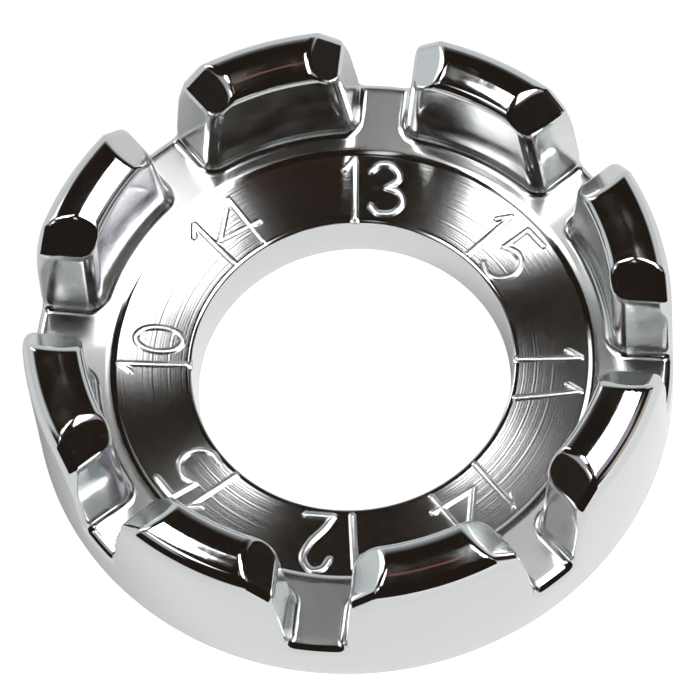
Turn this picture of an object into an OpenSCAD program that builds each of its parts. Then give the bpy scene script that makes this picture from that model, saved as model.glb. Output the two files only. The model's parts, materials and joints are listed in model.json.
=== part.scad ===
// Round spoke wrench: a plated casting with eight nipple slots around a finger hole.
// Eight jaw blocks stand on a dished ring. The slot between two blocks holds one
// gauge of spoke nipple, and its walls lean apart up to a pair of lead-in pads.
// +Z is up, the flat underside lies on Z = 0 and the hole's axis is the Z axis.
// Slots are counted clockwise from +Y, as the raised numbers beside them are.

/* [Casting] */
// Outside diameter of the wrench
outer_d = 45; // [43:0.5:49]
// Height from the underside to the top of the crowns
height = 12.7; // [12.2:0.1:14]
// Rounding of the outer bottom edge
foot_round = 0.85; // [0.4:0.05:1.2]

/* [Finger hole] */
// Diameter of the hole
hole_d = 22; // [19:0.5:24]
// Rounding of the hole's upper edge
hole_top_round = 0.6; // [0.3:0.1:1]
// Rounding of the hole's lower edge
hole_foot_round = 0.35; // [0.2:0.05:0.6]

/* [Number ring] */
// Height of the number ring where it meets the hole
ring_inner_z = 3.7; // [3.3:0.1:3.9]
// Height of the number ring where it meets the step
ring_outer_z = 4.0; // [3.9:0.05:4.15]
// Outside diameter of the number ring
ring_d = 33.2; // [31:0.2:34]
// Width of the bevelled step up to the ledge
step_w = 0.4; // [0.2:0.1:0.7]

/* [Jaws] */
// Height of the ledge inside the jaws and of the slot floors
floor_z = 4.3; // [4.2:0.1:5]
// Thickness of the jaw wall, measured along a radius
jaw_t = 4.2; // [3.8:0.1:4.6]
// Fillet where the jaws rise from the ledge and from the slot floors
base_fillet = 0.6; // [0.4:0.1:0.8]
// Radius of the crown's arch, seen in section
crown_r = 5; // [4:0.5:9]
// Rounding of the crown's outer edge
crown_outer_round = 1; // [0.5:0.1:1.3]
// Rounding of the crown's inner edge
crown_inner_round = 0.5; // [0.3:0.1:0.8]
// Rounding of the upright corners on the hole's side
inner_corner_round = 0.95; // [0.5:0.05:1.2]
// Rounding of the upright corners on the outside
outer_corner_round = 0.4; // [0.2:0.05:0.6]

/* [Nipple slots] */
// Width of the slot for 10 gauge nipples, above its floor fillets
slot_10 = 5; // [4.8:0.05:5.2]
// Width of the slot for 11 gauge nipples
slot_11 = 4.4; // [4.3:0.05:4.6]
// Width of the slot for 12 gauge nipples
slot_12 = 4.1; // [3.95:0.05:4.25]
// Width of the slot for 13 gauge nipples
slot_13 = 3.75; // [3.6:0.05:3.9]
// Width of the slots for 14 gauge nipples
slot_14 = 3.45; // [3.35:0.05:3.6]
// Width of the slots for 15 gauge nipples
slot_15 = 3.25; // [3.1:0.05:3.35]
// Least width between two lead-in pads
mouth_w = 5.1; // [4.9:0.1:5.4]
// How much wider than its slot a mouth is at least
mouth_gain = 0.9; // [0.5:0.1:1.2]
// Rounding of the slot floor's outer lip
lip_round = 0.65; // [0.4:0.05:0.9]

/* [Lead-in pads] */
// Height of a pad's lower edge, where it meets the slot wall
pad_z = 10.9; // [10.5:0.1:11.2]
// Slope of the pads
pad_slope = 40; // [35:1:45]

/* [Hidden] */

$fn = 128;

// How far a cutter runs past the metal that it cuts
overrun = 2;
// A rounding meets the round wall at this angle, so that it cuts it cleanly
meeting_angle = 15;

// Slot widths, clockwise from +Y
slots = [slot_13, slot_15, slot_11, slot_14, slot_12, slot_15, slot_10, slot_14];
slot_pitch = 360 / len(slots);

outer_r = outer_d / 2;
hole_r = hole_d / 2;
ring_r = ring_d / 2;
jaw_inner_r = outer_r - jaw_t;
// The jaws stand on the ring at the top of their base fillets
seat_z = floor_z + base_fillet;

// Centre of the crown's arch, and of the two small arcs that it runs into
crown_mid_r = outer_r - jaw_t / 2;
crown_mid_z = height - crown_r;
outer_arc = arc_centre(outer_r - crown_outer_round, crown_outer_round);
inner_arc = arc_centre(jaw_inner_r + crown_inner_round, crown_inner_round);

// The slot floor turns down around this axis at the outer lip
lip_y = outer_r - lip_round * cos(meeting_angle);
lip_z = floor_z - lip_round;

// Tilt of the number ring, which falls towards the hole
ring_tilt = atan((ring_outer_z - ring_inner_z) / (ring_r - hole_r - hole_top_round));

// Centre of an arc that touches the crown's arch from inside
function arc_centre(r, round) =
    [r, crown_mid_z + sqrt(pow(crown_r - round, 2) - pow(r - crown_mid_r, 2))];

// Direction from the middle of the crown's arch to another centre
function direction_to(centre) = atan2(centre[1] - crown_mid_z, centre[0] - crown_mid_r);

function mouth(slot) = max(mouth_w, slot + mouth_gain);

// Lean of a slot's wall, from its seat up to the pad
function lean(slot) = atan((mouth(slot) - slot) / 2 / (pad_z - seat_z));

// Where a corner's arc is centred along the slot, so that it crosses a round wall
function corner_y(wall_r, across) = sqrt(pow(wall_r, 2) - pow(across, 2));

// What is cut away outside a rounded corner, between the directions of its two ends
module corner_waste(centre, round, from, to) {
    middle = (from + to) / 2;
    reach = round * 1.5;
    translate(centre)
        difference() {
            polygon([
                [0, 0],
                reach * [cos(from), sin(from)],
                2 * reach * [cos(middle), sin(middle)],
                reach * [cos(to), sin(to)],
            ]);
            circle(r = round);
        }
}

// Section of the dished ring, from the hole to the outer wall
module ring_section() {
    hole_top_z = ring_inner_z - hole_top_round / cos(ring_tilt);
    difference() {
        polygon([
            [hole_r, 0],
            [outer_r, 0],
            [outer_r, seat_z],
            [jaw_inner_r - base_fillet, seat_z],
            [jaw_inner_r - base_fillet, floor_z],
            [ring_r + step_w, floor_z],
            [ring_r, ring_outer_z],
            [hole_r, ring_inner_z - hole_top_round * tan(ring_tilt)],
        ]);
        translate([jaw_inner_r - base_fillet, seat_z])
            circle(r = base_fillet);
        corner_waste([outer_r - foot_round, foot_round], foot_round, -90, 0);
        corner_waste([hole_r + hole_foot_round, hole_foot_round], hole_foot_round, 180, 270);
        corner_waste([hole_r + hole_top_round, hole_top_z], hole_top_round, 90 + ring_tilt, 180);
    }
}

// Section of the jaw wall, with its arched crown
module jaw_section() {
    difference() {
        intersection() {
            translate([jaw_inner_r, seat_z])
                square([jaw_t, height - seat_z]);
            translate([crown_mid_r, crown_mid_z])
                circle(r = crown_r);
        }
        corner_waste(outer_arc, crown_outer_round, 0, direction_to(outer_arc));
        corner_waste(inner_arc, crown_inner_round, direction_to(inner_arc), 180);
    }
}

// Section of a slot's bottom: x is measured up from the lip's axis, y across the slot
module slot_section(slot) {
    difference() {
        translate([lip_round, -slot / 2])
            square([base_fillet + overrun, slot]);
        for (side = [-1, 1])
            scale([1, side])
                corner_waste([lip_round + base_fillet, slot / 2 - base_fillet], base_fillet, 90, 180);
    }
}

// Plan of what rounds off the two upright corners of a jaw, beside a slot's wall
module upright_corners(slot) {
    inner_reach = jaw_inner_r + inner_corner_round * cos(meeting_angle);
    outer_reach = outer_r - outer_corner_round * cos(meeting_angle);
    inner_y = corner_y(inner_reach, mouth(slot) / 2 + inner_corner_round);
    outer_y = corner_y(outer_reach, slot / 2 + outer_corner_round);
    difference() {
        translate([0, inner_y - inner_corner_round - overrun])
            square([inner_corner_round, inner_corner_round + overrun]);
        translate([inner_corner_round, inner_y])
            circle(r = inner_corner_round);
    }
    difference() {
        translate([0, outer_y])
            square([outer_corner_round, outer_corner_round + overrun]);
        translate([outer_corner_round, outer_y])
            circle(r = outer_corner_round);
    }
}

// Turns what is drawn for the slot on +Y to the slot of this number
module at_slot(number) {
    rotate(-number * slot_pitch)
        children();
}

// The slot's bottom, straight out along a radius and then down over the lip
module slot_floor(slot) {
    translate([0, lip_y, lip_z])
        rotate([0, -90, 0]) {
            rotate([90, 0, 0])
                linear_extrude(jaw_t + base_fillet)
                    slot_section(slot);
            rotate_extrude(angle = 90)
                slot_section(slot);
        }
}

// The leaning half of a slot that borders the jaw on its clockwise side
module slot_side(slot) {
    translate([slot / 2, 0, seat_z])
        rotate([0, lean(slot), 0])
            translate([0, 0, -overrun])
                linear_extrude(height - seat_z + 2 * overrun) {
                    translate([-slot / 2 - overrun, jaw_inner_r - overrun])
                        square([slot / 2 + overrun, jaw_t + 2 * overrun]);
                    upright_corners(slot);
                }
}

// The lead-in pad at the top of that half
module lead_in(slot) {
    edge_x = mouth(slot) / 2;
    top_z = height + overrun;
    translate([0, outer_r + overrun, 0])
        rotate([90, 0, 0])
            linear_extrude(jaw_t + 2 * overrun)
                polygon([
                    [0, pad_z - edge_x * tan(pad_slope)],
                    [edge_x + (top_z - pad_z) / tan(pad_slope), top_z],
                    [0, top_z],
                ]);
}

module slot_half(slot) {
    slot_side(slot);
    lead_in(slot);
}

module base_ring() {
    color("silver")
        difference() {
            rotate_extrude()
                ring_section();
            for (number = [0 : len(slots) - 1])
                at_slot(number) {
                    slot_floor(slots[number]);
                    for (side = [0, 1])
                        mirror([side, 0, 0])
                            translate([slots[number] / 2, 0, floor_z])
                                linear_extrude(base_fillet + overrun)
                                    upright_corners(slots[number]);
                }
        }
}

// The jaw between the slot of this number and the next one clockwise
module jaw(number) {
    next = (number + 1) % len(slots);
    color("gainsboro")
        difference() {
            at_slot(number + 1)
                rotate(90)
                    rotate_extrude(angle = slot_pitch)
                        jaw_section();
            at_slot(number)
                slot_half(slots[number]);
            at_slot(next)
                mirror([1, 0, 0])
                    slot_half(slots[next]);
        }
}

module jaw_13_15() { jaw(0); }
module jaw_15_11() { jaw(1); }
module jaw_11_14() { jaw(2); }
module jaw_14_12() { jaw(3); }
module jaw_12_15() { jaw(4); }
module jaw_15_10() { jaw(5); }
module jaw_10_14() { jaw(6); }
module jaw_14_13() { jaw(7); }

base_ring();
jaw_13_15();
jaw_15_11();
jaw_11_14();
jaw_14_12();
jaw_12_15();
jaw_15_10();
jaw_10_14();
jaw_14_13();
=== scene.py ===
"""Dresses the round spoke wrench: one plated casting with eight nipple slots.

The casting is meshed here from a distance field with true fillets, because a
mirror finish shows every facet. Lengths are in millimetres until a mesh is made.
"""
import json
import math

import bmesh
import bpy
import numpy as np
from mathutils import Matrix, Vector


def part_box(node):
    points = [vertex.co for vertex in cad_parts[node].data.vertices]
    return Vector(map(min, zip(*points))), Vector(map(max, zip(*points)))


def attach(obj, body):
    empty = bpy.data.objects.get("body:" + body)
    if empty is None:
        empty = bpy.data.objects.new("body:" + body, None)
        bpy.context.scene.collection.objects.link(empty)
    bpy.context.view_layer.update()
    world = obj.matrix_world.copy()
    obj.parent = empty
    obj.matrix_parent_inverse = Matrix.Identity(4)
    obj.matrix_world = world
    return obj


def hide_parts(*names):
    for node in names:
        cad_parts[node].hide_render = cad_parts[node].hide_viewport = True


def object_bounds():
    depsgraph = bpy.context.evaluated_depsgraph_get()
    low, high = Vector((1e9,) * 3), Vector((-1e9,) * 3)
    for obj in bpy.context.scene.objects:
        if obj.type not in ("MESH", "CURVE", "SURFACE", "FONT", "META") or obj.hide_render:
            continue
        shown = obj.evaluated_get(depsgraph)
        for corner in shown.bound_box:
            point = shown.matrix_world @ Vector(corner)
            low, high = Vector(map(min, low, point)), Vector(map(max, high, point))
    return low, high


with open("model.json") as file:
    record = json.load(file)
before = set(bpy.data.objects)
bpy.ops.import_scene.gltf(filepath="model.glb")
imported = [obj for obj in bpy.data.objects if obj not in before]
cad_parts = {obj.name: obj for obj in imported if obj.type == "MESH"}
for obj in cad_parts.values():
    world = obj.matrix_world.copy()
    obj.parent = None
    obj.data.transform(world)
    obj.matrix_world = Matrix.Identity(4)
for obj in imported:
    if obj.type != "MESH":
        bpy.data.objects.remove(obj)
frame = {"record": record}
CAD_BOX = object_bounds()

MM = 0.001


def mount(name):
    """One of the part's mounts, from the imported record."""
    return next(item for item in frame["record"]["mounts"] if item["name"] == name)


def in_mm(metres):
    """A length of the frame in millimetres, rounded to a thousandth."""
    return round(metres / MM, 3)


# Sizes that the frame gives
OUTER_R = in_mm(CAD_BOX[1][0])
HEIGHT = in_mm(CAD_BOX[1][2])
SEAT_Z = in_mm(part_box("base_ring")[1][2])
FLOOR_Z = in_mm(mount("slot_13_north")["pos_m"][2])
HOLE_R = mount("finger_hole")["dims"]["r_mm"]

# Slot widths by nipple gauge, clockwise from +Y, as in the CAD model
GAUGES = (13, 15, 11, 14, 12, 15, 10, 14)
SLOT_WIDTH = {10: 5.0, 11: 4.4, 12: 4.1, 13: 3.75, 14: 3.45, 15: 3.25}
WIDTHS = np.array([SLOT_WIDTH[gauge] for gauge in GAUGES])
SLOT_COUNT = len(GAUGES)
SLOT_PITCH = 360 / SLOT_COUNT
MOUTH_WIDTH = 5.1
MOUTH_GAIN = 0.9

# The hole opens upwards, and the number ring is dished, more steeply towards its rim
HOLE_TAPER = 0.09
RING_INNER_R = 11.6
RING_R = 16.6
RING_INNER_Z = 3.7
RING_OUTER_Z = 4.0
RING_FALL = 0.01
RING_BOW = 0.01
STEP_W = 0.4

# The ledge and the slot floors lean inwards and roll over at the rim
FLOOR_MID_R = 20.0
FLOOR_FALL = 0.044
FLOOR_ROLL_R = 21.5
FLOOR_ROLL = 0.12

# The jaws
JAW_INNER_R = 18.3
CROWN_R = 5.0
CROWN_MID = (20.4, HEIGHT - CROWN_R)
PAD_Z = 10.9
PAD_SLOPE = math.tan(math.radians(40))

# Roundings
FOOT_ROUND = 0.85
LIP_ROUND = 0.65
OUTER_CORNER = 0.4
INNER_CORNER = 0.95
CROWN_OUTER_ROUND = 1.0
CROWN_INNER_ROUND = 0.5
PAD_ROUND = 0.22
BASE_FILLET = 0.6
STEP_ROUND = 0.12
HOLE_TOP_ROUND = 0.2
HOLE_FOOT_ROUND = 0.35

# Heights over which one rounding of the outer wall turns into the next
LIP_TO_CORNER = (4.4, 5.4)
CORNER_TO_CROWN = (8.6, PAD_Z)
# Height and radius that part the roundings at the two ends of the hole and at the two foot edges
HOLE_MID_Z = 2
FOOT_MID_R = 16

# Grid of the casting's mesh: where its stretches of radius and height meet, and the spacing in each
RADIUS_BREAKS = (HOLE_R - 0.3, RING_INNER_R + 0.3, RING_R - 0.3, RING_R + 0.6,
                 JAW_INNER_R + 0.9, OUTER_R - 1.3, OUTER_R + 0.3)
RADIUS_SPACINGS = (0.12, 0.55, 0.1, 0.14, 0.2, 0.12)
HEIGHT_BREAKS = (-0.2, FOOT_ROUND + 0.25, RING_INNER_Z - 0.9, SEAT_Z + 0.7, PAD_Z - 0.7, HEIGHT + 0.2)
HEIGHT_SPACINGS = (0.13, 0.4, 0.12, 0.3, 0.13)
TURN_STEPS = 900
TURN_BATCH = 90
GRADIENT_STEP = 1e-3
PULLS = 4
PULL_LIMIT = 0.1
LEAST_STEEPNESS = 0.2

# A cell's eight corners, its twelve edges, and the four cells round a grid edge along each axis
CORNERS = [(da, dr, dz) for da in (0, 1) for dr in (0, 1) for dz in (0, 1)]
CELL_EDGES = [
    (first, second) for first in CORNERS for second in CORNERS
    if first < second and sum(abs(p - q) for p, q in zip(first, second)) == 1
]
CELLS_ROUND_EDGE = (
    ((0, -1, -1), (0, 0, -1), (0, 0, 0), (0, -1, 0)),
    ((-1, 0, -1), (-1, 0, 0), (0, 0, 0), (0, 0, -1)),
    ((-1, -1, 0), (0, -1, 0), (0, 0, 0), (-1, 0, 0)),
)

# Colour of the plate, its finishes, and what tells the faces of one from those of the next
PLATE = (0.79, 0.805, 0.805)
FINISHES = ("polished", "turned", "satin", "cut", "cast")
LEVEL_NZ = 0.93
LEVEL_REACH = 0.15
RING_START_R = HOLE_R + 0.75
LEDGE_OUT_R = 22.1
PAD_NZ = 0.5
PAD_REACH = 0.02
CROWN_NZ = 0.45
CROWN_START_Z = PAD_Z - 0.5
WALL_SINK = 0.05
WALL_OUTWARD = 0.5

# Raised numbers
NUMBER_RELIEF = 0.1
NUMBER_FLAT = 0.08
NUMBER_REACH = 0.33
NUMBER_SINK = 0.012
NUMBER_DEPTH = 0.2
NUMBER_GRID = 0.06
NUMBER_MARGIN = 0.7
NUMBER_FADE = (11.3, 11.7)
CURVE_STEPS = 8


# Distance field of the casting

def hard_max(first, second, radius):
    """Intersection of two solids, with their common edge rounded."""
    spill = np.hypot(np.maximum(radius + first, 0), np.maximum(radius + second, 0))
    return np.minimum(-radius, np.maximum(first, second)) + spill


def soft_min(first, second, radius):
    """Union of two solids, with a fillet between them."""
    return -hard_max(-first, -second, radius)


def blend(x, start, end):
    """0 before start and 1 after end, with a smooth step between."""
    t = np.clip((x - start) / (end - start), 0, 1)
    return t * t * (3 - 2 * t)


def nearest_slot(x, y):
    """Distance from the nearest slot's centre line, its width and the width of its mouth."""
    number = np.round((90 - np.degrees(np.arctan2(y, x))) / SLOT_PITCH).astype(int) % SLOT_COUNT
    angle = np.radians(90 - SLOT_PITCH * number)
    width = WIDTHS[number]
    mouth = np.maximum(MOUTH_WIDTH, width + MOUTH_GAIN)
    return np.abs(x * np.sin(angle) - y * np.cos(angle)), width, mouth


def pad_field(z, reach, mouth):
    """Height over the plane of the nearest lead-in pad, measured square to it."""
    return ((z - PAD_Z) - (reach - mouth / 2) * PAD_SLOPE) / math.hypot(1, PAD_SLOPE)


def jaw_field(x, y, z, r):
    """The jaws without their outer wall: inner wall, slot walls, crown and pads."""
    reach, width, mouth = nearest_slot(x, y)
    lean = (mouth - width) / 2 / (PAD_Z - SEAT_Z)
    wall = (width / 2 + np.maximum(z - SEAT_Z, 0) * lean - reach) / np.sqrt(1 + lean * lean)
    arch = np.hypot(r - CROWN_MID[0], z - CROWN_MID[1]) - CROWN_R
    jaw = hard_max(JAW_INNER_R - r, wall, INNER_CORNER)
    jaw = hard_max(jaw, arch, CROWN_INNER_ROUND)
    return hard_max(jaw, pad_field(z, reach, mouth), PAD_ROUND)


def ring_height(r):
    """Height of the number ring."""
    outward = np.minimum(r, RING_R) - RING_INNER_R
    return RING_INNER_Z + outward * RING_FALL + outward * outward * RING_BOW


def floor_height(r):
    """Height of the ledge and the slot floors."""
    over = np.clip(r - FLOOR_ROLL_R, 0, OUTER_R - FLOOR_ROLL_R)
    return FLOOR_Z + (r - FLOOR_MID_R) * FLOOR_FALL - over * over * FLOOR_ROLL


STEP_RISE = floor_height(RING_R + STEP_W) - RING_OUTER_Z


def top_height(r):
    """Height of the number ring and of the step at its rim."""
    step = RING_OUTER_Z + (r - RING_R) * STEP_RISE / STEP_W
    return np.minimum(np.maximum(ring_height(r), step), floor_height(r))


def plate_field(z, r):
    """Everything under the ledge and the dished number ring."""
    steep = RING_FALL + 2 * RING_BOW * (np.minimum(r, RING_R) - RING_INNER_R)
    ring = (z - ring_height(r)) / np.hypot(1, steep)
    bevel = ((z - RING_OUTER_Z) * STEP_W - (r - RING_R) * STEP_RISE) / math.hypot(STEP_W, STEP_RISE)
    return np.minimum(ring, hard_max(z - floor_height(r), bevel, STEP_ROUND))


def field(x, y, z):
    """Signed distance to the casting's surface, negative in the metal."""
    r = np.hypot(x, y)
    body = soft_min(plate_field(z, r), jaw_field(x, y, z, r), BASE_FILLET)
    edge = LIP_ROUND + blend(z, *LIP_TO_CORNER) * (OUTER_CORNER - LIP_ROUND)
    edge = edge + blend(z, *CORNER_TO_CROWN) * (CROWN_OUTER_ROUND - OUTER_CORNER)
    body = hard_max(body, r - OUTER_R, edge)
    hole = HOLE_R + np.maximum(z, 0) * HOLE_TAPER - r
    body = hard_max(body, hole, np.where(z < HOLE_MID_Z, HOLE_FOOT_ROUND, HOLE_TOP_ROUND))
    return hard_max(body, -z, np.where(r < FOOT_MID_R, HOLE_FOOT_ROUND, FOOT_ROUND))


def slope(points):
    """Gradient of the field at an array of points."""
    h = GRADIENT_STEP
    x, y, z = points.T
    return np.stack([
        field(x + h, y, z) - field(x - h, y, z),
        field(x, y + h, z) - field(x, y - h, z),
        field(x, y, z + h) - field(x, y, z - h),
    ], axis=1) / (2 * h)


def unit(vectors):
    """Vectors brought to length one."""
    return vectors / np.linalg.norm(vectors, axis=1, keepdims=True)


# Meshing: one vertex per cell that the surface crosses, on a grid in polar coordinates

def graded(breaks, spacings):
    """Grid lines over stretches between breaks, each with its own spacing."""
    lines = []
    for start, end, spacing in zip(breaks, breaks[1:], spacings):
        count = max(1, round((end - start) / spacing))
        lines.extend(np.linspace(start, end, count, endpoint=False))
    return np.array(lines + [breaks[-1]])


def grid_values(radii, heights, turns):
    """The field at every point of the grid, found a part of a turn at a time to spare memory."""
    angles = np.arange(turns) * 2 * np.pi / turns
    values = np.empty((turns, len(radii), len(heights)))
    for start in range(0, turns, TURN_BATCH):
        part = slice(start, start + TURN_BATCH)
        a, r, z = np.meshgrid(angles[part], radii, heights, indexing="ij")
        values[part] = field(r * np.cos(a), r * np.sin(a), z)
    return values


def crossed_cells(inside):
    """True for every cell that has corners both in the metal and out of it."""
    _, rows, levels = inside.shape
    count = sum(
        np.roll(inside, -da, axis=0)[:, dr:rows - 1 + dr, dz:levels - 1 + dz].astype(np.int8)
        for da, dr, dz in CORNERS)
    return (count > 0) & (count < len(CORNERS))


def edge_crossings(values, crossed, radii, heights):
    """For every crossed cell, the mean of the places where the surface cuts its edges."""
    turns = len(values)
    cell_a, cell_r, cell_z = np.nonzero(crossed)
    total = np.zeros((len(cell_a), 3))
    hits = np.zeros(len(cell_a))

    def corner(da, dr, dz):
        place = (cell_a + da) * 2 * np.pi / turns, radii[cell_r + dr], heights[cell_z + dz]
        return values[(cell_a + da) % turns, cell_r + dr, cell_z + dz], np.stack(place, axis=1)

    for first, second in CELL_EDGES:
        (f0, p0), (f1, p1) = corner(*first), corner(*second)
        cut = (f0 < 0) != (f1 < 0)
        share = np.where(cut, f0 / np.where(cut, f0 - f1, 1), 0)[:, None]
        total += np.where(cut[:, None], p0 + (p1 - p0) * share, 0)
        hits += cut
    angle, r, z = (total / hits[:, None]).T
    return np.stack([r * np.cos(angle), r * np.sin(angle), z], axis=1)


def pulled_to_surface(points):
    """Points moved along the field's gradient until they lie on the surface."""
    for _ in range(PULLS):
        g = slope(points)
        steepness = np.maximum((g * g).sum(axis=1), LEAST_STEEPNESS)
        move = -g * (field(*points.T) / steepness)[:, None]
        points = points + np.clip(move, -PULL_LIMIT, PULL_LIMIT)
    return points


def net_quads(inside, crossed):
    """A quad round every grid edge that the surface crosses, facing out of the metal."""
    turns, rows, levels = inside.shape
    index = np.full(crossed.shape, -1)
    index[crossed] = np.arange(crossed.sum())
    quads = []
    for axis, cells in enumerate(CELLS_ROUND_EDGE):
        da, dr, dz = np.eye(3, dtype=int)[axis]
        here = inside[:, :rows - dr, :levels - dz]
        there = np.roll(inside, -da, axis=0)[:, dr:, dz:]
        i, j, k = np.nonzero(here != there)
        loop = np.stack([index[(i + a) % turns, j + b, k + c] for a, b, c in cells], axis=1)
        outward = here[i, j, k]
        loop[outward] = loop[outward, ::-1]
        quads.append(loop)
    return np.concatenate(quads)


def casting_net():
    """Vertices and quads of the casting's surface, on a grid that closes round the axis."""
    radii = graded(RADIUS_BREAKS, RADIUS_SPACINGS)
    heights = graded(HEIGHT_BREAKS, HEIGHT_SPACINGS)
    values = grid_values(radii, heights, TURN_STEPS)
    inside = values < 0
    crossed = crossed_cells(inside)
    points = pulled_to_surface(edge_crossings(values, crossed, radii, heights))
    return points, net_quads(inside, crossed)


def split_at_seat(points, quads):
    """Points and faces of the net, cut at the seat plane of the jaws."""
    mesh = bpy.data.meshes.new("casting")
    mesh.from_pydata(points.tolist(), [], quads.tolist())
    bm = bmesh.new()
    bm.from_mesh(mesh)
    bpy.data.meshes.remove(mesh)
    bmesh.ops.bisect_plane(
        bm, geom=bm.verts[:] + bm.edges[:] + bm.faces[:], dist=1e-6,
        plane_co=(0, 0, SEAT_Z), plane_no=(0, 0, 1))
    bm.verts.index_update()
    points = np.array([v.co[:] for v in bm.verts])
    faces = [[v.index for v in f.verts] for f in bm.faces]
    bm.free()
    return points, faces


# Pieces

def new_piece(name, mesh):
    """An object that rides on the part's one body."""
    piece = bpy.data.objects.new(name, mesh)
    bpy.context.scene.collection.objects.link(piece)
    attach(piece, "root")
    return piece


def without_spare(points, faces):
    """The points that the faces use, and the faces numbered anew to match."""
    used = sorted({v for face in faces for v in face})
    fresh = {old: new for new, old in enumerate(used)}
    return points[used], [[fresh[v] for v in face] for face in faces]


def boundary_loops(faces):
    """Closed loops of vertices round the holes in a set of faces."""
    seen = {edge for face in faces for edge in zip(face, face[1:] + face[:1])}
    following = {b: a for a, b in seen if (b, a) not in seen}
    loops = []
    while following:
        start, at = following.popitem()
        loop = [start, at]
        while at in following:
            at = following.pop(at)
            loop.append(at)
        loops.append(loop[:-1] if loop[0] == loop[-1] else loop)
    return loops


def capped_piece(name, points, faces):
    """A closed piece in metres, shaded by the field's own normals except on its flat caps."""
    points, faces = without_spare(points, faces)
    mesh = bpy.data.meshes.new(name)
    mesh.from_pydata((points * MM).tolist(), [], faces + boundary_loops(faces))
    mesh.validate()
    mesh.shade_smooth()
    loops = np.empty(len(mesh.loops), dtype=np.int64)
    mesh.loops.foreach_get("vertex_index", loops)
    corner_normals = unit(slope(points))[loops]
    for cap in mesh.polygons[len(faces):]:
        corner_normals[cap.loop_start:cap.loop_start + cap.loop_total] = cap.normal
    mesh.normals_split_custom_set(corner_normals.tolist())
    return new_piece(name, mesh)


def connected(faces, count):
    """Number of the connected group that each vertex belongs to."""
    label = np.arange(count)
    edges = np.array([edge for face in faces for edge in zip(face, face[1:] + face[:1])])
    while True:
        low = np.minimum(label[edges[:, 0]], label[edges[:, 1]])
        fresh = label.copy()
        np.minimum.at(fresh, edges[:, 0], low)
        np.minimum.at(fresh, edges[:, 1], low)
        fresh = fresh[fresh]
        if (fresh == label).all():
            return label
        label = fresh


def jaw_node(centre):
    """Name of the jaw at a place: the two slots that it stands between, clockwise."""
    turn = (90 - math.degrees(math.atan2(centre[1], centre[0]))) % 360
    number = int(turn // SLOT_PITCH)
    return f"jaw_{GAUGES[number]}_{GAUGES[(number + 1) % SLOT_COUNT]}"


def build_casting():
    """The ring and the eight jaws, by the name of the node that each one replaces."""
    points, faces = split_at_seat(*casting_net())
    middle = np.array([points[face, 2].mean() for face in faces])
    below = [face for face, z in zip(faces, middle) if z < SEAT_Z]
    above = [face for face, z in zip(faces, middle) if z >= SEAT_Z]
    pieces = {"base_ring": capped_piece("ring_body", points, below)}
    label = connected(above, len(points))
    groups = {}
    for face in above:
        groups.setdefault(label[face[0]], []).append(face)
    for group in groups.values():
        node = jaw_node(points[[v for face in group for v in face]].mean(axis=0))
        pieces[node] = capped_piece(f"plated_{node}", points, group)
    return pieces


def face_values(mesh, name):
    """Three numbers of every face, as three arrays."""
    values = np.empty(len(mesh.polygons) * 3)
    mesh.polygons.foreach_get(name, values)
    return values.reshape(-1, 3).T


def finish_of_faces(mesh):
    """Number in FINISHES of every face, from its place and the way it faces."""
    x, y, z = face_values(mesh, "center") / MM
    nx, ny, nz = face_values(mesh, "normal")
    r = np.hypot(x, y)
    outward = (nx * x + ny * y) / r
    reach, _, mouth = nearest_slot(x, y)
    past_ring = r > RING_R + STEP_W
    high = z > CROWN_START_Z
    level = (nz > LEVEL_NZ) & (z < floor_height(r) + LEVEL_REACH)
    ring = level & (r > RING_START_R) & (r < RING_R)
    ledge = level & past_ring & (r < LEDGE_OUT_R)
    pad = high & (nz > PAD_NZ) & (np.abs(pad_field(z, reach, mouth)) < PAD_REACH)
    crown = high & (nz > CROWN_NZ)
    wall = past_ring & (z > floor_height(r) - WALL_SINK) & (outward < WALL_OUTWARD) & ~crown & ~ledge
    found = {"turned": ring, "satin": ledge, "cut": pad, "cast": wall}
    numbers = [FINISHES.index(name) for name in found]
    return np.select(list(found.values()), numbers, FINISHES.index("polished"))


def dress(piece, metals):
    """Gives every face its finish, and the piece only the metals that it shows."""
    finish = finish_of_faces(piece.data)
    shown = sorted(set(finish))
    for number in shown:
        piece.data.materials.append(metals[FINISHES[number]])
    piece.data.polygons.foreach_set("material_index", np.searchsorted(shown, finish).astype(np.int32))


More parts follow.
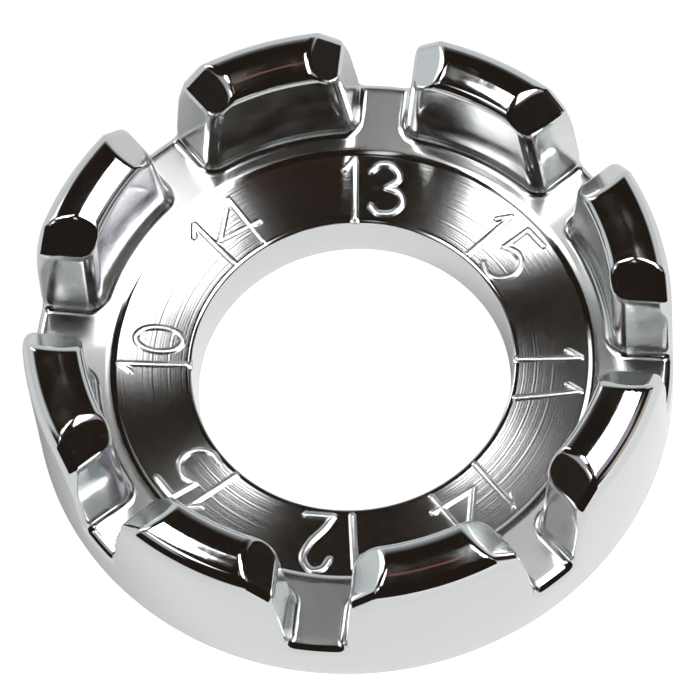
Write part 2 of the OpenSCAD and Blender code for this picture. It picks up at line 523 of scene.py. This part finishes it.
# Raised numbers beside the slots, as strokes in the slot's own frame in millimetres: across,
# the way the number reads, and along, outwards from the middle. A curve is drawn through its points.
STROKES = {
    0: (
        ("line", (-2.25, 15.4), (-1.6, 16.25), (-1.08, 11.45)),
        ("curve", (-0.3, 15.4), (0.25, 15.95), (1.05, 15.95), (1.65, 15.35), (1.6, 14.75), (0.9, 14.2)),
        ("curve", (0.9, 14.2), (1.85, 13.85), (2.1, 13.0), (1.5, 12.25), (0.5, 12.15), (-0.1, 12.7)),
    ),
    1: (
        ("line", (-2.3, 15.0), (-1.75, 15.9), (-1.55, 11.7)),
        ("line", (1.55, 16.1), (-0.15, 16.1), (-0.25, 14.0)),
        ("curve", (-0.25, 14.0), (0.6, 14.4), (1.4, 14.15), (1.85, 13.2), (1.45, 12.2), (0.6, 11.8),
         (-0.3, 12.1)),
    ),
    2: (
        ("line", (-2.15, 15.0), (-1.65, 15.9), (-1.3, 11.5)),
        ("line", (0.5, 15.25), (1.0, 16.1), (1.75, 11.7)),
    ),
    3: (
        ("line", (-2.1, 15.2), (-1.5, 15.95), (-1.6, 11.7)),
        ("line", (2.3, 11.7), (2.5, 16.0), (-0.35, 13.0), (3.0, 12.7)),
    ),
    4: (
        ("line", (-2.4, 14.9), (-1.95, 15.9), (-1.3, 11.8)),
        ("curve", (-0.1, 15.3), (0.35, 16.1), (1.2, 16.2), (1.75, 15.3), (1.4, 14.1), (0.5, 12.9),
         (0.0, 11.95)),
        ("line", (0.0, 11.95), (1.9, 11.95)),
    ),
    5: (
        ("line", (-1.95, 15.0), (-1.35, 15.8), (-1.55, 11.65)),
        ("line", (1.77, 16.0), (-0.05, 16.05), (-0.25, 14.15)),
        ("curve", (-0.25, 14.15), (0.7, 14.5), (1.65, 14.1), (1.95, 13.2), (1.55, 12.3), (0.8, 11.85),
         (0.0, 11.95)),
    ),
    6: (
        ("line", (-1.95, 15.5), (-1.4, 16.3), (-1.0, 11.4)),
        ("curve", (0.8, 15.45), (1.5, 14.95), (1.75, 13.8), (1.5, 12.65), (0.8, 12.15), (0.1, 12.65),
         (-0.15, 13.8), (0.1, 14.95), (0.8, 15.45)),
    ),
    7: (
        ("line", (-2.3, 15.1), (-1.65, 15.9), (-1.35, 11.8)),
        ("line", (1.3, 11.8), (1.45, 15.95), (-1.05, 13.75), (2.1, 13.2)),
    ),
}


def smooth_line(points):
    """Points along a Catmull-Rom curve through the given ones."""
    points = [np.array(p) for p in points]
    padded = [2 * points[0] - points[1], *points, 2 * points[-1] - points[-2]]
    if np.allclose(points[0], points[-1]):
        padded[0], padded[-1] = points[-2], points[1]
    line = []
    for before, start, end, after in zip(padded, padded[1:], padded[2:], padded[3:]):
        for t in np.arange(CURVE_STEPS) / CURVE_STEPS:
            line.append(0.5 * (2 * start + (end - before) * t
                               + (2 * before - 5 * start + 4 * end - after) * t ** 2
                               + (3 * start - before - 3 * end + after) * t ** 3))
    return line + [points[-1]]


def stroke_distance(across, along, strokes):
    """Distance from an array of places to the nearest stroke."""
    nearest = np.full(across.shape, np.inf)
    for kind, *points in strokes:
        line = smooth_line(points) if kind == "curve" else points
        for (x0, y0), (x1, y1) in zip(line, line[1:]):
            dx, dy = x1 - x0, y1 - y0
            t = np.clip(((across - x0) * dx + (along - y0) * dy) / (dx * dx + dy * dy), 0, 1)
            nearest = np.minimum(nearest, np.hypot(across - x0 - t * dx, along - y0 - t * dy))
    return nearest


def number_grid(strokes):
    """A grid of places round a number, in its slot's own frame."""
    ends = np.array([point for _, *points in strokes for point in points])
    low, high = ends.min(axis=0) - NUMBER_MARGIN, ends.max(axis=0) + NUMBER_MARGIN
    lines = [np.arange(start, end, NUMBER_GRID) for start, end in zip(low, high)]
    return np.meshgrid(*lines, indexing="ij")


def slab(x, y, top, bottom, keep):
    """Points and faces of the solid between two height maps, over the cells round the kept places."""
    used = keep[:-1, :-1] | keep[1:, :-1] | keep[:-1, 1:] | keep[1:, 1:]
    wide, tall = x.shape
    layer = wide * tall
    points = np.concatenate([np.stack([x, y, z], axis=-1).reshape(-1, 3) for z in (top, bottom)])
    faces = []
    for i, j in np.argwhere(used):
        a, b, c, d = i * tall + j, (i + 1) * tall + j, (i + 1) * tall + j + 1, i * tall + j + 1
        faces.append([a, b, c, d])
        faces.append([d + layer, c + layer, b + layer, a + layer])
        for di, dj, p, q in ((0, -1, a, b), (1, 0, b, c), (0, 1, c, d), (-1, 0, d, a)):
            ni, nj = i + di, j + dj
            covered = 0 <= ni < wide - 1 and 0 <= nj < tall - 1 and used[ni, nj]
            if not covered:
                faces.append([p, p + layer, q + layer, q])
    return points, faces


def build_number(slot):
    """One raised number as a closed piece that stands a little way into the casting."""
    across, along = number_grid(STROKES[slot])
    gap = stroke_distance(across, along, STROKES[slot])
    r = np.hypot(across, along)
    rise = NUMBER_RELIEF * (1 - blend(gap, NUMBER_FLAT, NUMBER_REACH)) * blend(r, *NUMBER_FADE)
    angle = math.radians(90 - SLOT_PITCH * slot)
    x = across * math.sin(angle) + along * math.cos(angle)
    y = along * math.sin(angle) - across * math.cos(angle)
    ground = top_height(r)
    points, faces = without_spare(*slab(x, y, ground + rise - NUMBER_SINK, ground - NUMBER_DEPTH, rise > 0))
    mesh = bpy.data.meshes.new(f"number_{slot}")
    mesh.from_pydata((points * MM).tolist(), [], faces)
    mesh.shade_smooth()
    piece = new_piece(f"number_{GAUGES[slot]}_at_slot_{slot + 1}", mesh)
    return piece


# Materials

def new_metal(name, roughness, anisotropic=0.0):
    """Chrome plate, with the tools to work on its shader."""
    material = bpy.data.materials.new(name)
    material.use_nodes = True
    nodes, links = material.node_tree.nodes, material.node_tree.links
    shader = nodes["Principled BSDF"]
    shader.inputs["Base Color"].default_value = (*PLATE, 1)
    shader.inputs["Metallic"].default_value = 1.0
    shader.inputs["Roughness"].default_value = roughness
    shader.inputs["Anisotropic"].default_value = anisotropic
    return material, nodes, links, shader


def own_noise(nodes, links, scale, detail):
    """Noise in the part's own space."""
    place = nodes.new("ShaderNodeTexCoord")
    noise = nodes.new("ShaderNodeTexNoise")
    noise.inputs["Scale"].default_value = scale
    noise.inputs["Detail"].default_value = detail
    links.new(place.outputs["Object"], noise.inputs["Vector"])
    return noise.outputs["Fac"]


def ripple(nodes, links, shader, scale, depth):
    """A shallow bump from noise."""
    bump = nodes.new("ShaderNodeBump")
    bump.inputs["Distance"].default_value = depth
    bump.inputs["Strength"].default_value = 1.0
    links.new(own_noise(nodes, links, scale, detail=3.0), bump.inputs["Height"])
    links.new(bump.outputs["Normal"], shader.inputs["Normal"])


def scuffs(nodes, links, shader, scale, fresh, worn):
    """Roughness that wanders between fresh plate and plate dulled by handling."""
    spread = nodes.new("ShaderNodeMapRange")
    limits = {"From Min": 0.35, "From Max": 0.7, "To Min": fresh, "To Max": worn}
    for name, value in limits.items():
        spread.inputs[name].default_value = value
    links.new(own_noise(nodes, links, scale, detail=4.0), spread.inputs["Value"])
    links.new(spread.outputs["Result"], shader.inputs["Roughness"])


def follow_turning(nodes, links, shader):
    """Turns a shader's grain so that highlights spread along the radius."""
    shader.inputs["Anisotropic Rotation"].default_value = 0.25
    tangent = nodes.new("ShaderNodeTangent")
    tangent.direction_type = "RADIAL"
    tangent.axis = "Z"
    links.new(tangent.outputs["Tangent"], shader.inputs["Tangent"])


def calculate(nodes, links, kind, operation, *values):
    """A maths node over other nodes' outputs and plain values."""
    node = nodes.new(kind)
    node.operation = operation
    for socket, value in zip(node.inputs, values):
        if isinstance(value, bpy.types.NodeSocket):
            links.new(value, socket)
        else:
            socket.default_value = value
    return node


def turning_lines(nodes, links, shader, scale, detail, amount):
    """Leans the normal in and out along the radius by a noise of the radius alone."""
    number, vector = "ShaderNodeMath", "ShaderNodeVectorMath"
    where = nodes.new("ShaderNodeNewGeometry")
    flat = calculate(nodes, links, vector, "MULTIPLY", where.outputs["Position"], (1, 1, 0))
    radius = calculate(nodes, links, vector, "LENGTH", flat.outputs["Vector"])
    outward = calculate(nodes, links, vector, "NORMALIZE", flat.outputs["Vector"])
    noise = nodes.new("ShaderNodeTexNoise")
    noise.noise_dimensions = "1D"
    noise.inputs["Scale"].default_value = scale
    noise.inputs["Detail"].default_value = detail
    noise.inputs["Roughness"].default_value = 0.8
    links.new(radius.outputs["Value"], noise.inputs["W"])
    centred = calculate(nodes, links, number, "SUBTRACT", noise.outputs["Fac"], 0.5)
    lean = calculate(nodes, links, number, "MULTIPLY", centred.outputs["Value"], amount)
    tilt = calculate(nodes, links, vector, "SCALE", outward.outputs["Vector"])
    links.new(lean.outputs["Value"], tilt.inputs["Scale"])
    both = calculate(nodes, links, vector, "ADD", where.outputs["Normal"], tilt.outputs["Vector"])
    normal = calculate(nodes, links, vector, "NORMALIZE", both.outputs["Vector"])
    links.new(normal.outputs["Vector"], shader.inputs["Normal"])


def polished_metal():
    """Bright plate over polished metal, a little wavy and here and there scuffed."""
    material, *parts = new_metal("bright_plate", roughness=0.055)
    scuffs(*parts, scale=600.0, fresh=0.04, worn=0.085)
    ripple(*parts, scale=450.0, depth=0.000007)
    return material


def turned_metal():
    """Plate over fine concentric turning lines, which spread every highlight radially."""
    material, *parts = new_metal("turned_plate", roughness=0.11, anisotropic=1.0)
    follow_turning(*parts)
    turning_lines(*parts, scale=7000.0, detail=2.0, amount=0.22)
    return material


def satin_metal():
    """Plate over the ledge and the slot floors, satin with a turned grain."""
    material, *parts = new_metal("satin_plate", roughness=0.175, anisotropic=0.6)
    follow_turning(*parts)
    return material


def cut_metal():
    """Plate over the rougher cut of the lead-in pads."""
    material, *parts = new_metal("cut_plate", roughness=0.13)
    ripple(*parts, scale=3500.0, depth=0.000002)
    return material


def cast_metal():
    """Plate over the walls as they were cast, which blurs what they mirror."""
    material, *parts = new_metal("cast_plate", roughness=0.13)
    scuffs(*parts, scale=500.0, fresh=0.1, worn=0.19)
    ripple(*parts, scale=900.0, depth=0.000004)
    return material


def number_metal():
    """Plate over the soft edges of the raised numbers."""
    material, *parts = new_metal("number_plate", roughness=0.24)
    ripple(*parts, scale=2500.0, depth=0.000004)
    return material


# Studio

# Camera, from the photograph's perspective. The azimuth is the direction away from the camera
# on the floor, and the aim is in millimetres across the picture.
CAMERA_AZIMUTH = 102.4
CAMERA_ELEVATION = 62.25
CAMERA_ROLL = -6.9
CAMERA_DISTANCE = 0.4045
CAMERA_LENS = 294.1
CAMERA_SENSOR = 36
CAMERA_CLIP = 0.01
AIM_RIGHT = -0.368
AIM_UP = 2.681

# White paper: its colour, and how much it glows for the camera and in the metal
PAPER_COLOUR = (0.8, 0.8, 0.8)
PAPER_CAMERA_GLOW = 0.92
PAPER_METAL_GLOW = 0.2
PAPER_RADIUS = 1.5
PAPER_SIDES = 96

# Lamp for the paper, in degrees from the zenith and to the side of the camera's line
LAMP_POWER = 9.0
LAMP_SIZE = 0.8
LAMP_DISTANCE = 0.9
LAMP_FALL = 42
LAMP_TURN = -48

# Dark tent with a pale lower wall at the far side, all angles in degrees
TENT_RADIUS = 1.2
TENT_TOP = 0.5
TENT_FOOT = 100
TENT_DARK = (0.017, 0.0125, 0.009)
TENT_PALE = (0.60, 0.64, 0.65)
PALE_START = 48
PALE_FULL = 68
PALE_MIDDLE = 99
PALE_HALF = 70
PALE_SOFT = 4

# Lamps and pale panels inside the tent, each as corners, softness and colour. A place in the tent
# is given in degrees from the zenith, to the right of the picture and away from the camera.
# Corners run anticlockwise as seen in that chart. Flat metal mirrors the place (0, 28).
PANELS = (
    # Main lamp on the right, with a dim strip and a bright one that reach in towards flat metal
    (((4.5, 19.5), (8, 10), (16.5, -7.5), (19.5, -12), (30, -11), (32, 4), (27, 14), (15, 20)),
     2.5, (8.0, 8.0, 8.0)),
    (((4.6, 27.0), (4.2, 25.2), (13.3, 19.7), (16.3, 25.0)), 1.0, (3.2, 3.2, 3.2)),
    (((2.9, 23.1), (6.5, 16.4), (12.0, 20.0), (4.2, 25.0)), 0.8, (10.0, 10.0, 10.0)),
    # Main lamp on the left, with a strip that reaches in towards flat metal
    (((-8, 22.5), (-13.5, 20.5), (-24, 13), (-22, 7), (-13.2, 8.4), (-9.8, 12.8), (-8.4, 17.5)),
     2.0, (10.5, 10.5, 10.5)),
    (((-4.2, 24.4), (-10.5, 19.2), (-8.5, 16.9), (-3.3, 23.6)), 0.8, (10.0, 10.0, 10.0)),
    # Pale panels low on the right
    (((32, -20), (48, -24), (60, -8), (48, 6), (32, 8)), 5.0, (0.36, 0.32, 0.40)),
    (((70, -30), (105, -40), (105, 8), (74, 4)), 8.0, (0.50, 0.46, 0.40)),
    # Small lamps and pale panels on the left
    (((-25, -6), (-36, -4), (-34, -18), (-25, -16)), 4.0, (3.0, 3.0, 3.0)),
    (((-24, 14), (-54, 4), (-56, -14), (-46, -30), (-22, 4)), 4.0, (0.40, 0.38, 0.40)),
    (((-5, 4), (-7, 4), (-9, -8), (-6, -8)), 2.0, (1.0, 1.0, 1.0)),
    (((-24, 38), (-30, 50), (-50, 58), (-55, 36), (-30, 30)), 4.0, (2.0, 2.0, 2.0)),
    # Thin red strip near the zenith
    (((-1.5, 12.7), (-1.5, 11.2), (5, 10.2), (5, 11.7)), 1.0, (0.35, 0.11, 0.08)),
)


def on_dome(fall, turn):
    """Unit vector to a place in the tent, from its angles off the zenith and off the picture's right."""
    heading = np.radians(turn + CAMERA_AZIMUTH - 90)
    tilt = np.radians(fall)
    return np.stack([np.sin(tilt) * np.cos(heading), np.sin(tilt) * np.sin(heading), np.cos(tilt)], axis=-1)


def empty_material(name):
    """A material without nodes, and its tools."""
    material = bpy.data.materials.new(name)
    material.use_nodes = True
    material.node_tree.nodes.clear()
    return material, material.node_tree.nodes, material.node_tree.links


def paper_material():
    """White paper, lifted to a clean white for the camera and a little for reflections."""
    material, nodes, links = empty_material("white_paper")
    out = nodes.new("ShaderNodeOutputMaterial")
    path = nodes.new("ShaderNodeLightPath")
    plain = nodes.new("ShaderNodeBsdfDiffuse")
    plain.inputs["Color"].default_value = (*PAPER_COLOUR, 1)
    total = plain.outputs[0]
    for ray, strength in (("Is Camera Ray", PAPER_CAMERA_GLOW), ("Is Glossy Ray", PAPER_METAL_GLOW)):
        amount = calculate(nodes, links, "ShaderNodeMath", "MULTIPLY", path.outputs[ray], strength)
        glow = nodes.new("ShaderNodeEmission")
        links.new(amount.outputs[0], glow.inputs["Strength"])
        both = nodes.new("ShaderNodeAddShader")
        links.new(total, both.inputs[0])
        links.new(glow.outputs[0], both.inputs[1])
        total = both.outputs[0]
    links.new(total, out.inputs[0])
    return material


def build_floor():
    """A round sheet of white paper under the part."""
    bpy.ops.mesh.primitive_circle_add(
        vertices=PAPER_SIDES, radius=PAPER_RADIUS, fill_type="NGON", location=(0, 0, 0))
    floor = bpy.context.object
    floor.name = "studio_floor"
    floor.data.materials.append(paper_material())


def build_world():
    """Black, because the tent gives all the light that the metal mirrors."""
    world = bpy.data.worlds.new("studio")
    bpy.context.scene.world = world
    world.use_nodes = True
    world.node_tree.nodes["Background"].inputs["Color"].default_value = (0.0, 0.0, 0.0, 1)


def panel_glow(right, away, corners, softness):
    """1 inside a convex panel, 0 outside it, with a soft edge."""
    inside = np.full(right.shape, np.inf)
    for (x0, y0), (x1, y1) in zip(corners, corners[1:] + corners[:1]):
        dx, dy = x1 - x0, y1 - y0
        inside = np.minimum(inside, (dx * (away - y0) - dy * (right - x0)) / math.hypot(dx, dy))
    return blend(inside, -softness / 2, softness / 2)


def tent_glow(fall, turn):
    """Colour of the tent's light at an array of places."""
    right, away = fall * np.cos(np.radians(turn)), fall * np.sin(np.radians(turn))
    off = np.abs((turn - PALE_MIDDLE + 180) % 360 - 180) - PALE_HALF
    low_wall = blend(fall, PALE_START, PALE_FULL) * (1 - blend(off, 0, PALE_SOFT))
    colour = TENT_DARK + low_wall[..., None] * TENT_PALE
    for corners, softness, light in PANELS:
        colour = colour + panel_glow(right, away, corners, softness)[..., None] * light
    return colour


def glow_material():
    """Light in the colour that each vertex carries."""
    material, nodes, links = empty_material("tent_cloth")
    out = nodes.new("ShaderNodeOutputMaterial")
    light = nodes.new("ShaderNodeEmission")
    source = nodes.new("ShaderNodeAttribute")
    source.attribute_name = "glow"
    links.new(source.outputs["Color"], light.inputs["Color"])
    links.new(light.outputs[0], out.inputs["Surface"])
    material.cycles.emission_sampling = "NONE"
    return material


def build_tent():
    """A dark tent round the table, with a vertex to each degree for the lamps and panels on its inside."""
    fall, turn = np.meshgrid(np.arange(TENT_TOP, TENT_FOOT), np.arange(0.0, 360), indexing="ij")
    rows, wide = fall.shape
    points = TENT_RADIUS * on_dome(fall, turn).reshape(-1, 3)
    glow = tent_glow(fall, turn).reshape(-1, 3)
    faces = [list(range(wide))]
    for row in range(rows - 1):
        for column in range(wide):
            after = (column + 1) % wide
            faces.append([row * wide + column, (row + 1) * wide + column,
                          (row + 1) * wide + after, row * wide + after])
    mesh = bpy.data.meshes.new("studio_tent")
    mesh.from_pydata(points.tolist(), [], faces)
    layer = mesh.attributes.new("glow", "FLOAT_COLOR", "POINT")
    layer.data.foreach_set("color", np.hstack([glow, np.ones((len(glow), 1))]).ravel())
    mesh.materials.append(glow_material())
    tent = bpy.data.objects.new("studio_tent", mesh)
    bpy.context.scene.collection.objects.link(tent)
    tent.visible_diffuse = False
    tent.visible_shadow = False


def build_lamp():
    """A wide soft lamp for the paper, out of sight of the metal."""
    lamp = bpy.data.lights.new("paper_lamp", "AREA")
    lamp.shape = "DISK"
    lamp.size = LAMP_SIZE
    lamp.energy = LAMP_POWER
    item = bpy.data.objects.new("paper_lamp", lamp)
    place = Vector(on_dome(LAMP_FALL, LAMP_TURN))
    item.location = place * LAMP_DISTANCE
    item.rotation_euler = place.to_track_quat("Z", "Y").to_euler()
    item.visible_glossy = False
    bpy.context.scene.collection.objects.link(item)


def build_camera():
    """Looks at the part from the photograph's side, from its height and with its roll."""
    away = math.radians(CAMERA_AZIMUTH)
    tilt = math.radians(CAMERA_ELEVATION)
    roll = math.radians(CAMERA_ROLL)
    ahead = Vector((math.cos(away), math.sin(away), 0))
    level = Vector((math.sin(away), -math.cos(away), 0))
    zenith = Vector((0, 0, 1))
    rise = ahead * math.sin(tilt) + zenith * math.cos(tilt)
    back = zenith * math.sin(tilt) - ahead * math.cos(tilt)
    right = level * math.cos(roll) + rise * math.sin(roll)
    up = rise * math.cos(roll) - level * math.sin(roll)
    data = bpy.data.cameras.new("camera")
    data.lens = CAMERA_LENS
    data.sensor_width = CAMERA_SENSOR
    data.clip_start = CAMERA_CLIP
    camera = bpy.data.objects.new("camera", data)
    place = back * CAMERA_DISTANCE + (right * AIM_RIGHT + up * AIM_UP) * MM
    camera.matrix_world = Matrix.Translation(place) @ Matrix((right, up, back)).transposed().to_4x4()
    bpy.context.scene.collection.objects.link(camera)
    bpy.context.scene.camera = camera


build_camera()
build_floor()
build_world()
build_tent()
build_lamp()
bpy.context.scene.view_settings.view_transform = "Standard"

metals = {
    "polished": polished_metal(),
    "turned": turned_metal(),
    "satin": satin_metal(),
    "cut": cut_metal(),
    "cast": cast_metal(),
}
for node, piece in build_casting().items():
    dress(piece, metals)
    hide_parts(node)

number_plate = number_metal()
for slot in STROKES:
    build_number(slot).data.materials.append(number_plate)
